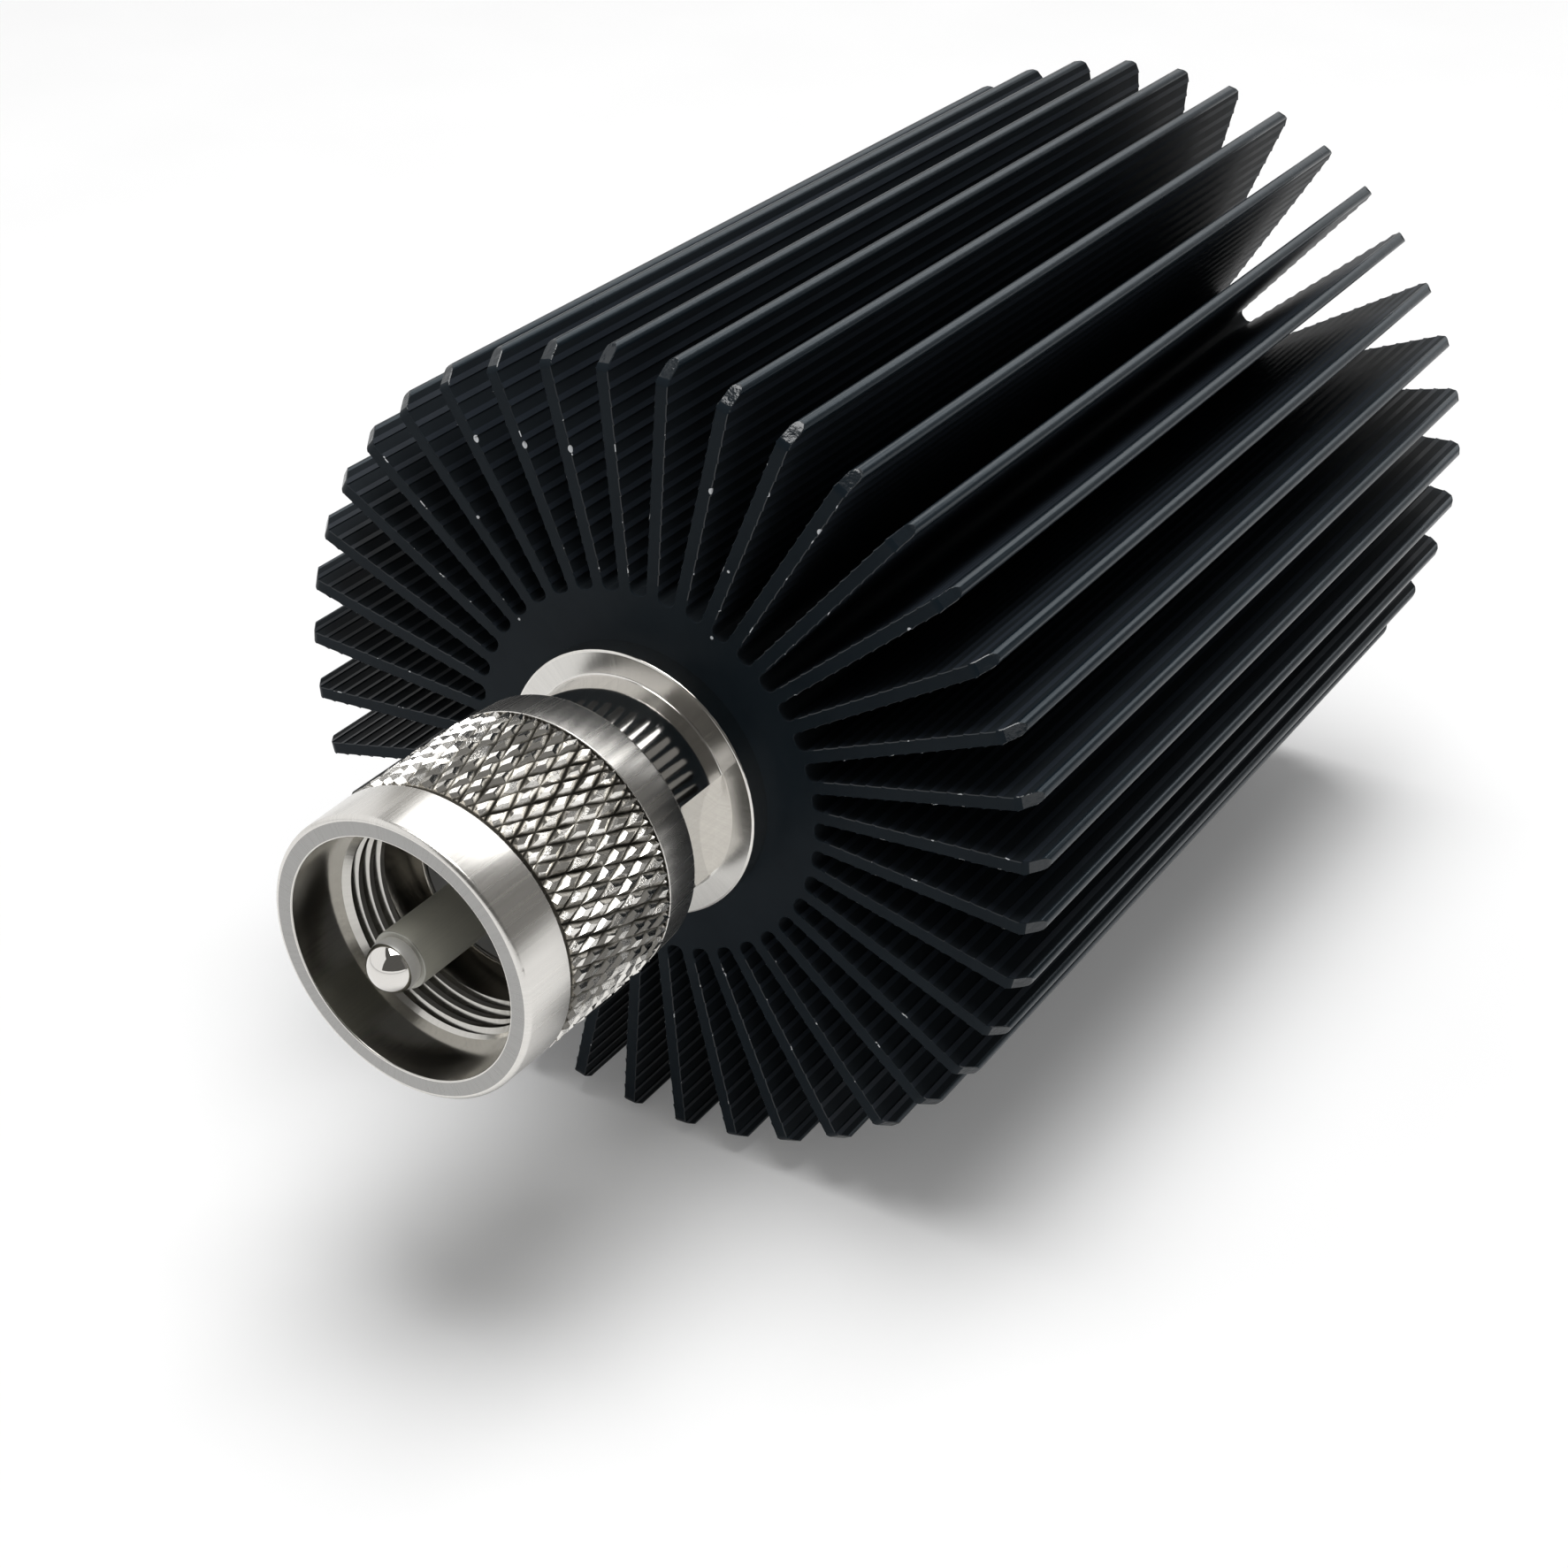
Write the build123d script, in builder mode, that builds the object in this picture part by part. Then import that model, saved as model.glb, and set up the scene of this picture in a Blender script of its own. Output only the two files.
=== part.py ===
from build123d import *
import os
from math import cos, hypot, isclose, radians, sin

os.makedirs("parts", exist_ok=True)

# All sizes are in millimetres. Stations are measured along the main axis from the hub's front
# face: negative towards the pin, positive towards the rear. The part lies on its fins.

# Heat sink: an extruded hub with straight radial fins, their outer corners cut back
sink_diameter = 60.0
sink_length = 76.0
hub_diameter = 27.0
fin_count = 40
fin_thickness = 0.9
fin_root_flare = 0.35
front_corner_height = 1.2
front_corner_length = 1.9
rear_corner_size = 0.6

# Connector body: flange, neck with two wrench flats, journal for the nut, threaded shank
flange_thickness = 1.7
neck_diameter = 16.2
neck_length = 5.7
across_flats = 14.0
flat_angle = -7.25
journal_diameter = 12.8
journal_length = 8.6
shank_diameter = 16.0
shank_length = 8.0
shank_clearance = 0.1

# Coupling nut with its 5/8-24 thread, left plain at the minor diameter
nut_length = 18.0
nut_rear_gap = 0.6
nut_journal_clearance = 0.2
nut_wall = 1.5
nut_ring_length = 4.1
nut_groove_width = 0.5
nut_groove_depth = 0.5
nut_edge_chamfer = 0.4
nut_entry_length = 4.1
nut_entry_allowance = 0.925
thread_diameter = 15.875
thread_depth = 0.4675
thread_length = 4.0
nut_cavity_allowance = 0.525
nut_lip_length = 5.4

# Spring ring that holds the nut, and the end play it leaves
ring_width = 1.0
ring_wall = 1.4
ring_seat_depth = 0.5
ring_gap_width = 2.0
ring_side_clearance = 0.1
ring_groove_clearance = 0.2
ring_groove_setback = 3.3
nut_travel = 1.1

# Centre pin
pin_diameter = 3.96
pin_ball_diameter = 3.26
pin_edge_chamfer = 0.4
pin_reach = 12.12
pin_core_diameter = 3.0
pin_tail_diameter = 2.0

# Insulating beads
bead_clearance = 0.05
front_bead_diameter = 12.2
front_bead_length = 2.0
front_bead_recess = 0.15
coax_bore_diameter = 7.2
rear_bead_diameter = 10.8
rear_bead_length = 3.5
bead_ring_length = 1.0
bead_ring_inner_diameter = 9.0
bead_ring_setback = 0.5

# Cavity in the hub and the termination resistor on its floor
tapped_run_out = 1.0
cavity_depth = 17.0
cavity_clearance = 0.2
resistor_flange_length = 13.6
resistor_flange_width = 5.8
resistor_flange_thickness = 1.5
screw_spacing = 10.2
substrate_side = 5.4
substrate_thickness = 1.0
film_thickness = 0.1
film_width = 2.6
film_length = 3.0
pad_width = 3.4
pad_length = 1.0
lid_width = 4.4
lid_thickness = 0.8
lid_edge_margin = 0.1
tab_thickness = 0.2
tab_width = 1.6
tab_rise = 3.4
tab_reach = 2.3
tab_bend_radius = 0.5
tab_tail_drop = 1.2
screw_diameter = 2.0
screw_hole_clearance = 0.1
screw_length = 5.9
screw_head_diameter = 3.8
screw_head_height = 1.3
screw_slot_width = 0.5
screw_slot_depth = 0.6
washer_thickness = 0.4
washer_outer_diameter = 3.8
washer_gap_width = 0.5
tap_hole_extra = 0.6

# Diameters that follow from others
nut_entry_diameter = thread_diameter + nut_entry_allowance
nut_cavity_diameter = thread_diameter + nut_cavity_allowance
nut_diameter = nut_entry_diameter + 2 * nut_wall
flange_diameter = nut_diameter
ring_inner_diameter = journal_diameter - 2 * ring_seat_depth
ring_outer_diameter = ring_inner_diameter + 2 * ring_wall
cavity_diameter = hypot(resistor_flange_length, resistor_flange_width) + 2 * cavity_clearance

# Stations of the shoulders
flange_front = -flange_thickness
neck_front = flange_front - neck_length
body_front = neck_front - journal_length
nut_rear = neck_front - nut_rear_gap
nut_front = nut_rear - nut_length
ring_groove_rear = neck_front - ring_groove_setback
ring_rear = ring_groove_rear - ring_side_clearance
ring_front = ring_rear - ring_width
ring_groove_front = ring_front - nut_travel - ring_side_clearance
bead_front = body_front + front_bead_recess
bead_rear = bead_front + front_bead_length
core_rear = shank_length - bead_ring_setback
rear_bead_rear = core_rear - bead_ring_length
rear_bead_front = rear_bead_rear - rear_bead_length
pin_tip = body_front - pin_reach
ball_radius = pin_ball_diameter / 2
neck_radius = pin_diameter / 2 - pin_edge_chamfer
rod_front = pin_tip + ball_radius + (ball_radius ** 2 - neck_radius ** 2) ** 0.5
resistor_seat = cavity_depth - resistor_flange_thickness
film_seat = resistor_seat - substrate_thickness
film_front = film_seat - film_thickness
tab_centre = film_front - tab_thickness / 2
pin_tail_end = tab_centre - tab_reach - tab_thickness / 2

# Frame: the origin is under the middle of the part, on the surface that it lies on
half_pitch = 180 / fin_count
tip_drop = sink_diameter / 2 * cos(radians(half_pitch))
axis_height = tip_drop + fin_thickness / 2 * sin(radians(half_pitch))
overall_length = sink_length - pin_tip
hub_front_y = overall_length / 2 - sink_length
main_axis = Axis((0, 0, axis_height), (0, 1, 0))
profile_plane = Plane(origin=(0, hub_front_y, axis_height), x_dir=(0, 1, 0), z_dir=(1, 0, 0))
front_plane = Plane(origin=(0, hub_front_y, axis_height), x_dir=(1, 0, 0), z_dir=(0, -1, 0))


# A plane across the axis at a station; its own normal points towards the pin
def across(station):
    return front_plane.offset(-station)


# Heat sink
with BuildPart() as heat_sink:
    hub_radius = hub_diameter / 2
    fin_side = fin_thickness / 2
    with BuildSketch(across(0)):
        Circle(hub_radius)
        with PolarLocations(0, fin_count, half_pitch - 90):
            Polygon(
                (0, fin_side),
                (hub_radius - fin_root_flare, fin_side + fin_root_flare),
                (hub_radius, fin_side + fin_root_flare),
                (hub_radius + fin_root_flare, fin_side),
                (sink_diameter / 2, fin_side),
                (sink_diameter / 2, -fin_side),
                (hub_radius + fin_root_flare, -fin_side),
                (hub_radius, -fin_side - fin_root_flare),
                (hub_radius - fin_root_flare, -fin_side - fin_root_flare),
                (0, -fin_side),
                align=None,
            )
    extrude(amount=-sink_length)
    corners = heat_sink.edges().filter_by(lambda edge: isclose(edge.length, fin_thickness))
    front_face = heat_sink.faces().sort_by(Axis.Y)[0]
    chamfer(
        corners.group_by(Axis.Y)[0],
        length=front_corner_height,
        length2=front_corner_length,
        reference=front_face,
    )
    corners = heat_sink.edges().filter_by(lambda edge: isclose(edge.length, fin_thickness))
    chamfer(corners.group_by(Axis.Y)[-1], length=rear_corner_size)
    with BuildSketch(across(0)):
        Circle(shank_diameter / 2)
    extrude(amount=-(shank_length + tapped_run_out), mode=Mode.SUBTRACT)
    with BuildSketch(across(0)):
        Circle(cavity_diameter / 2)
    extrude(amount=-cavity_depth, mode=Mode.SUBTRACT)
    screw_grip = resistor_flange_thickness + washer_thickness
    with BuildSketch(across(cavity_depth)):
        with GridLocations(screw_spacing, 0, 2, 1):
            Circle(screw_diameter / 2 + screw_hole_clearance)
    extrude(amount=-(screw_length - screw_grip + tap_hole_extra), mode=Mode.SUBTRACT)
heat_sink.part.label = "heat_sink"
export_step(heat_sink.part, "parts/heat_sink.step")

# Connector body
with BuildPart() as connector_body:
    shank_radius = shank_diameter / 2 - shank_clearance
    with BuildSketch(profile_plane):
        with BuildLine():
            Polyline(
                (body_front, front_bead_diameter / 2),
                (body_front, journal_diameter / 2),
                (ring_groove_front, journal_diameter / 2),
                (ring_groove_front, ring_inner_diameter / 2 - ring_groove_clearance),
                (ring_groove_rear, ring_inner_diameter / 2 - ring_groove_clearance),
                (ring_groove_rear, journal_diameter / 2),
                (neck_front, journal_diameter / 2),
                (neck_front, neck_diameter / 2),
                (flange_front, neck_diameter / 2),
                (flange_front, flange_diameter / 2),
                (0, flange_diameter / 2),
                (0, shank_radius),
                (shank_length, shank_radius),
                (shank_length, rear_bead_diameter / 2),
                (rear_bead_front, rear_bead_diameter / 2),
                (rear_bead_front, coax_bore_diameter / 2),
                (bead_rear, coax_bore_diameter / 2),
                (bead_rear, front_bead_diameter / 2),
                close=True,
            )
        make_face()
    revolve(axis=main_axis)
    with BuildSketch(across(neck_front).rotated((0, 0, flat_angle))):
        with GridLocations(across_flats + neck_diameter, 0, 2, 1):
            Rectangle(neck_diameter, 2 * neck_diameter)
    extrude(amount=-neck_length, mode=Mode.SUBTRACT)
connector_body.part.label = "connector_body"
export_step(connector_body.part, "parts/connector_body.step")

# Coupling nut
with BuildPart() as coupling_nut:
    groove_front = nut_front + nut_ring_length
    groove_rear = groove_front + nut_groove_width
    thread_front = nut_front + nut_entry_length
    thread_rear = thread_front + thread_length
    lip_front = nut_rear - nut_lip_length
    lip_radius = journal_diameter / 2 + nut_journal_clearance
    ring_seat_radius = ring_outer_diameter / 2 + ring_groove_clearance
    minor_radius = thread_diameter / 2 - thread_depth
    with BuildSketch(profile_plane):
        with BuildLine():
            Polyline(
                (nut_front, nut_entry_diameter / 2),
                (nut_front, nut_diameter / 2 - nut_edge_chamfer),
                (nut_front + nut_edge_chamfer, nut_diameter / 2),
                (groove_front, nut_diameter / 2),
                (groove_front, nut_diameter / 2 - nut_groove_depth),
                (groove_rear, nut_diameter / 2 - nut_groove_depth),
                (groove_rear, nut_diameter / 2),
                (nut_rear, nut_diameter / 2),
                (nut_rear, lip_radius),
                (ring_rear + ring_side_clearance, lip_radius),
                (ring_rear + ring_side_clearance, ring_seat_radius),
                (ring_front - ring_side_clearance, ring_seat_radius),
                (ring_front - ring_side_clearance, lip_radius),
                (lip_front, lip_radius),
                (lip_front, nut_cavity_diameter / 2),
                (thread_rear, nut_cavity_diameter / 2),
                (thread_rear, minor_radius),
                (thread_front, minor_radius),
                (thread_front, nut_entry_diameter / 2),
                close=True,
            )
        make_face()
    revolve(axis=main_axis)
coupling_nut.part.label = "coupling_nut"
export_step(coupling_nut.part, "parts/coupling_nut.step")

# Spring ring between the nut and the connector body
with BuildPart() as nut_retaining_ring:
    with BuildSketch(across(ring_rear)):
        Circle(ring_outer_diameter / 2)
        Circle(ring_inner_diameter / 2, mode=Mode.SUBTRACT)
        with Locations((0, ring_outer_diameter / 2)):
            Rectangle(ring_gap_width, ring_outer_diameter, mode=Mode.SUBTRACT)
    extrude(amount=ring_width)
nut_retaining_ring.part.label = "nut_retaining_ring"
export_step(nut_retaining_ring.part, "parts/nut_retaining_ring.step")

# Centre pin: ball tip, mating rod with its shoulder on the front bead, core, tail to the tab
with BuildPart() as centre_pin:
    with BuildSketch(profile_plane):
        with BuildLine():
            Line((pin_tip, 0), (pin_tail_end, 0))
            Polyline(
                (pin_tail_end, 0),
                (pin_tail_end, pin_tail_diameter / 2),
                (core_rear, pin_tail_diameter / 2),
                (core_rear, pin_core_diameter / 2),
                (bead_front, pin_core_diameter / 2),
                (bead_front, pin_diameter / 2),
                (rod_front + pin_edge_chamfer, pin_diameter / 2),
                (rod_front, neck_radius),
            )
            RadiusArc((rod_front, neck_radius), (pin_tip, 0), -ball_radius)
        make_face()
    revolve(axis=main_axis)
centre_pin.part.label = "centre_pin"
export_step(centre_pin.part, "parts/centre_pin.step")

# Front bead in the journal, rear bead in the shank, and the ring that holds the rear one
with BuildPart() as front_insulator:
    with BuildSketch(across(bead_rear)):
        Circle(front_bead_diameter / 2 - bead_clearance)
        Circle(pin_core_diameter / 2 + bead_clearance, mode=Mode.SUBTRACT)
    extrude(amount=front_bead_length)
front_insulator.part.label = "front_insulator"
export_step(front_insulator.part, "parts/front_insulator.step")

with BuildPart() as rear_insulator:
    with BuildSketch(across(rear_bead_rear)):
        Circle(rear_bead_diameter / 2 - bead_clearance)
        Circle(pin_core_diameter / 2 + bead_clearance, mode=Mode.SUBTRACT)
    extrude(amount=rear_bead_length)
rear_insulator.part.label = "rear_insulator"
export_step(rear_insulator.part, "parts/rear_insulator.step")

with BuildPart() as insulator_ring:
    with BuildSketch(across(core_rear)):
        Circle(rear_bead_diameter / 2 - bead_clearance)
        Circle(bead_ring_inner_diameter / 2, mode=Mode.SUBTRACT)
    extrude(amount=bead_ring_length)
insulator_ring.part.label = "insulator_ring"
export_step(insulator_ring.part, "parts/insulator_ring.step")

# Termination resistor: mounting flange on the cavity floor
with BuildPart() as resistor_flange:
    with BuildSketch(across(cavity_depth)):
        Rectangle(resistor_flange_length, resistor_flange_width)
        with GridLocations(screw_spacing, 0, 2, 1):
            Circle(screw_diameter / 2 + screw_hole_clearance, mode=Mode.SUBTRACT)
    extrude(amount=resistor_flange_thickness)
resistor_flange.part.label = "resistor_flange"
export_step(resistor_flange.part, "parts/resistor_flange.step")

with BuildPart() as resistor_substrate:
    with BuildSketch(across(resistor_seat)):
        Rectangle(substrate_side, substrate_side)
    extrude(amount=substrate_thickness)
resistor_substrate.part.label = "resistor_substrate"
export_step(resistor_substrate.part, "parts/resistor_substrate.step")

with BuildPart() as resistor_film:
    with BuildSketch(across(film_seat)):
        Rectangle(film_width, film_length)
    extrude(amount=film_thickness)
resistor_film.part.label = "resistor_film"
export_step(resistor_film.part, "parts/resistor_film.step")

with BuildPart() as input_pad:
    with BuildSketch(across(film_seat)):
        with Locations((0, (film_length + pad_length) / 2)):
            Rectangle(pad_width, pad_length)
    extrude(amount=film_thickness)
input_pad.part.label = "input_pad"
export_step(input_pad.part, "parts/input_pad.step")

with BuildPart() as ground_pad:
    with BuildSketch(across(film_seat)):
        with Locations((0, -(film_length + pad_length) / 2)):
            Rectangle(pad_width, pad_length)
    extrude(amount=film_thickness)
ground_pad.part.label = "ground_pad"
export_step(ground_pad.part, "parts/ground_pad.step")

# Ceramic lid over the film and the ground pad, clear of the soldered tab
with BuildPart() as resistor_lid:
    lid_top = film_length / 2 - lid_edge_margin
    lid_bottom = -(film_length / 2 + pad_length)
    with BuildSketch(across(film_front)):
        with Locations((0, (lid_top + lid_bottom) / 2)):
            Rectangle(lid_width, lid_top - lid_bottom)
    extrude(amount=lid_thickness)
resistor_lid.part.label = "resistor_lid"
export_step(resistor_lid.part, "parts/resistor_lid.step")

# Tab: a bent strip soldered to the input pad and to the tail of the pin
with BuildPart() as resistor_tab:
    with BuildSketch(profile_plane):
        with BuildLine():
            FilletPolyline(
                (tab_centre, film_length / 2),
                (tab_centre, tab_rise),
                (pin_tail_end + tab_thickness / 2, tab_rise),
                (pin_tail_end + tab_thickness / 2, -tab_tail_drop),
                radius=tab_bend_radius,
            )
        trace(line_width=tab_thickness)
    extrude(amount=tab_width / 2, both=True)
resistor_tab.part.label = "resistor_tab"
export_step(resistor_tab.part, "parts/resistor_tab.step")

# Two slotted screws and their spring washers on the resistor's flange
screw_head_seat = resistor_seat - washer_thickness
with BuildPart() as resistor_screws:
    with BuildSketch(across(screw_head_seat)):
        with GridLocations(screw_spacing, 0, 2, 1):
            Circle(screw_head_diameter / 2)
    extrude(amount=screw_head_height)
    with BuildSketch(across(screw_head_seat)):
        with GridLocations(screw_spacing, 0, 2, 1):
            Circle(screw_diameter / 2)
    extrude(amount=-screw_length)
    with BuildSketch(across(screw_head_seat - screw_head_height)):
        with GridLocations(screw_spacing, 0, 2, 1):
            Rectangle(screw_slot_width, screw_head_diameter)
    extrude(amount=-screw_slot_depth, mode=Mode.SUBTRACT)
resistor_screws.part.label = "resistor_screws"
export_step(resistor_screws.part, "parts/resistor_screws.step")

with BuildPart() as screw_washers:
    with BuildSketch(across(resistor_seat)):
        with GridLocations(screw_spacing, 0, 2, 1):
            Circle(washer_outer_diameter / 2)
            Circle(screw_diameter / 2 + screw_hole_clearance, mode=Mode.SUBTRACT)
        with GridLocations(screw_spacing, 0, 2, 1):
            with Locations((0, washer_outer_diameter / 2)):
                Rectangle(washer_gap_width, washer_outer_diameter, mode=Mode.SUBTRACT)
    extrude(amount=washer_thickness)
screw_washers.part.label = "screw_washers"
export_step(screw_washers.part, "parts/screw_washers.step")
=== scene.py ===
from math import asin, atan2, cos, hypot, pi, radians, sin, tan

import bmesh
import bpy
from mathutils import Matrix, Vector


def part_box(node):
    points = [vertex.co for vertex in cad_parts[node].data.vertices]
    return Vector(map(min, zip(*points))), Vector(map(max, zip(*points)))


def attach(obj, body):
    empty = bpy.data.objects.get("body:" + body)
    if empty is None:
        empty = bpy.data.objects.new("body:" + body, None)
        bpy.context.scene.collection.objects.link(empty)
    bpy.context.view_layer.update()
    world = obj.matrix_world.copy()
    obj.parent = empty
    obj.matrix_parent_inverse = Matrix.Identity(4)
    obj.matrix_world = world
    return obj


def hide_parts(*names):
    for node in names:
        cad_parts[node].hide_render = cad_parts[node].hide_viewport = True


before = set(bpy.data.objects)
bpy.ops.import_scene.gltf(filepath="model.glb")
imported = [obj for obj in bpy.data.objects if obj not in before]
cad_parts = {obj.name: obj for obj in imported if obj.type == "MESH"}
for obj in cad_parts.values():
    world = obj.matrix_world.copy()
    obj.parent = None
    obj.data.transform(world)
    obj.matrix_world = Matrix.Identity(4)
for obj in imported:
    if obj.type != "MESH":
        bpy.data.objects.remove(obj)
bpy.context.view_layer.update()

# All pieces are modelled in millimetres round the Y axis, with station 0 at the front face of
# the heat sink's hub and negative stations towards the pin. placePiece then brings them to metres.
sinkLow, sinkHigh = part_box("heat_sink")
nutLow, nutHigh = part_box("coupling_nut")
bodyLow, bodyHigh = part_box("connector_body")
pinLow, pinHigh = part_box("centre_pin")
beadLow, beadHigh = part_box("front_insulator")
hubFront = sinkLow[1]
axisHeight = (sinkLow[2] + sinkHigh[2]) / 2
inMillimetres = 1000
same = 1e-3             # how near two places count as one, in millimetres
cutTolerance = 1e-4     # how near a cut a point is taken to lie on it, in millimetres
leaning = 0.1           # how far a face's normal has to lean to count, from 0 to 1
smoothAngle = 22        # edges flatter than this, in degrees, are shaded smooth
arcSteps = 6            # straight pieces in each rounded corner of a profile


# Millimetres along the axis from the hub's front face
def station(y):
    return (y - hubFront) * inMillimetres


def offAxis(point):
    return hypot(point[0], point[2])


# Modelling helpers

# A point is carried from place to place, which leaves the outline behind it
def drawOutline(name, points):
    bpy.ops.object.select_all(action="DESELECT")
    bpy.ops.mesh.primitive_plane_add(size=1)
    piece = bpy.context.object
    piece.name = name
    piece.data.name = name
    bpy.ops.object.mode_set(mode="EDIT")
    bpy.ops.mesh.select_mode(type="VERT")
    bpy.ops.mesh.select_all(action="SELECT")
    bpy.ops.mesh.merge(type="CENTER")
    bpy.ops.transform.translate(value=points[0])
    for here, there in zip(points, points[1:]):
        move = Vector(there) - Vector(here)
        bpy.ops.mesh.extrude_vertices_move(TRANSFORM_OT_translate={"value": move})
    return piece


# A kind is VERT, EDGE or FACE
def selectWhere(kind, test):
    bpy.ops.mesh.select_mode(type=kind)
    bpy.ops.mesh.select_all(action="DESELECT")
    mesh = bpy.context.object.data
    shape = bmesh.from_edit_mesh(mesh)
    for part in {"VERT": shape.verts, "EDGE": shape.edges, "FACE": shape.faces}[kind]:
        if test(part):
            part.select_set(True)
    shape.select_flush_mode()
    bmesh.update_edit_mesh(mesh)


# The edges that run round the axis at one station and radius
def selectRing(place, radius):
    def isThere(vert):
        return abs(vert.co.y - place) < same and abs(offAxis(vert.co) - radius) < same

    selectWhere("EDGE", lambda edge: all(isThere(vert) for vert in edge.verts))


# Each corner is a station, a radius and the round that it gets
def roundPath(corners):
    points = []
    for index, (place, radius, rounding) in enumerate(corners):
        corner = Vector((place, radius))
        if rounding == 0:
            points.append(corner)
            continue
        back = (Vector(corners[index - 1][:2]) - corner).normalized()
        ahead = (Vector(corners[index + 1][:2]) - corner).normalized()
        halfAngle = back.angle(ahead) / 2
        centre = corner + (back + ahead).normalized() * rounding / sin(halfAngle)
        first = corner + back * rounding / tan(halfAngle) - centre
        last = corner + ahead * rounding / tan(halfAngle) - centre
        start = atan2(first.y, first.x)
        sweep = (atan2(last.y, last.x) - start + pi) % (2 * pi) - pi
        for step in range(arcSteps + 1):
            angle = start + sweep * step / arcSteps
            points.append(centre + rounding * Vector((cos(angle), sin(angle))))
    return points


def cleanShell():
    bpy.ops.mesh.select_mode(type="VERT")
    bpy.ops.mesh.select_all(action="SELECT")
    bpy.ops.mesh.remove_doubles(threshold=same)
    bpy.ops.mesh.normals_make_consistent(inside=False)


# A profile that is spun once round the Y axis
def turnPiece(name, corners, steps):
    profile = [(0, point.x, point.y) for point in roundPath(corners)]
    piece = drawOutline(name, profile)
    bpy.ops.mesh.select_all(action="SELECT")
    bpy.ops.mesh.spin(steps=steps, angle=2 * pi, center=(0, 0, 0), axis=(0, 1, 0))
    cleanShell()
    return piece


# Carries the open loop that is selected along a path of stations and radii
def growRings(place, radius, path):
    for nextPlace, nextRadius in path:
        bpy.ops.mesh.extrude_edges_move(TRANSFORM_OT_translate={"value": (0, nextPlace - place, 0)})
        ratio = nextRadius / radius
        bpy.ops.transform.resize(value=(ratio, 1, ratio), center_override=(0, 0, 0))
        place = nextPlace
        radius = nextRadius


def useModifier(piece, kind, **settings):
    modifier = piece.modifiers.new(kind, kind)
    for key, value in settings.items():
        setattr(modifier, key, value)
    bpy.context.view_layer.objects.active = piece
    bpy.ops.object.modifier_apply(modifier=modifier.name)


def cutAway(piece, cutter):
    useModifier(piece, "BOOLEAN", object=cutter, operation="DIFFERENCE", solver="EXACT")
    bpy.ops.object.select_all(action="DESELECT")
    cutter.select_set(True)
    bpy.ops.object.delete()
    bpy.context.view_layer.objects.active = piece
    piece.select_set(True)


# The whole piece takes the first finish, and then each patch of faces its own
def paintPiece(piece, finish, patches=()):
    bpy.ops.object.mode_set(mode="OBJECT")
    bpy.ops.object.select_all(action="DESELECT")
    piece.select_set(True)
    bpy.context.view_layer.objects.active = piece
    piece.data.materials.append(finish)
    bpy.ops.object.mode_set(mode="EDIT")
    for number, (patchFinish, test) in enumerate(patches, start=1):
        piece.data.materials.append(patchFinish)
        piece.active_material_index = number
        selectWhere("FACE", test)
        bpy.ops.object.material_slot_assign()


# From millimetres round the axis to metres in the shared frame
def placePiece(piece, body, node):
    bpy.ops.mesh.select_all(action="SELECT")
    bpy.ops.transform.resize(value=(1 / inMillimetres,) * 3, center_override=(0, 0, 0))
    bpy.ops.transform.translate(value=(0, hubFront, axisHeight))
    bpy.ops.object.mode_set(mode="OBJECT")
    bpy.ops.object.shade_smooth_by_angle(angle=radians(smoothAngle), keep_sharp_edges=True)
    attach(piece, body)
    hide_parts(node)


# Finishes

def newFinish(name):
    finish = bpy.data.materials.new(name)
    finish.use_nodes = True
    return finish, finish.node_tree.nodes["Principled BSDF"]


def addNode(finish, kind, links=(), **settings):
    node = finish.node_tree.nodes.new(kind)
    for key, value in settings.items():
        if hasattr(node, key):
            setattr(node, key, value)
        else:
            node.inputs[key].default_value = value
    for socket, source in links:
        finish.node_tree.links.new(source, node.inputs[socket])
    return node


def joinTo(finish, source, shader, socket):
    finish.node_tree.links.new(source, shader.inputs[socket])


def objectPlace(finish):
    return addNode(finish, "ShaderNodeTexCoord").outputs["Object"]


def noiseOf(finish, scale, place=None):
    links = [("Vector", place or objectPlace(finish))]
    return addNode(finish, "ShaderNodeTexNoise", links, Scale=scale, Detail=3).outputs["Fac"]


# A node for two numbers, of which the second is a fixed one or another node's
def mathOf(finish, operation, first, second):
    node = addNode(finish, "ShaderNodeMath", [(0, first)], operation=operation)
    if isinstance(second, (int, float)):
        node.inputs[1].default_value = second
    else:
        joinTo(finish, second, node, 1)
    return node.outputs["Value"]


def vectorMathOf(finish, operation, source):
    return addNode(finish, "ShaderNodeVectorMath", [(0, source)], operation=operation)


def rampOf(finish, source, stops):
    ramp = addNode(finish, "ShaderNodeValToRGB", [("Fac", source)])
    elements = ramp.color_ramp.elements
    while len(elements) < len(stops):
        elements.new(0.5)
    for element, (position, colour) in zip(elements, stops):
        element.position = position
        element.color = (*colour, 1)
    return ramp.outputs["Color"]


# Clouds of a dark and a light tone, from a noise
def cloudsOf(finish, noise, dark, light):
    return rampOf(finish, noise, [(0.3, dark), (0.7, light)])


def rangeOf(finish, source, low, high):
    spread = addNode(finish, "ShaderNodeMapRange", [("Value", source)])
    spread.inputs["To Min"].default_value = low
    spread.inputs["To Max"].default_value = high
    return spread.outputs["Result"]


def bumpOf(finish, source, depth):
    bump = addNode(finish, "ShaderNodeBump", [("Height", source)], Strength=1.0, Distance=depth)
    return bump.outputs["Normal"]


# An uneven sheen and fine dents, at the scales that a kind of finish has
def roughen(finish, shader, kind, roughness, dents):
    sheen = rangeOf(finish, noiseOf(finish, kind["sheenScale"]), *roughness)
    joinTo(finish, sheen, shader, "Roughness")
    joinTo(finish, bumpOf(finish, noiseOf(finish, kind["dentScale"]), dents), shader, "Normal")


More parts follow.
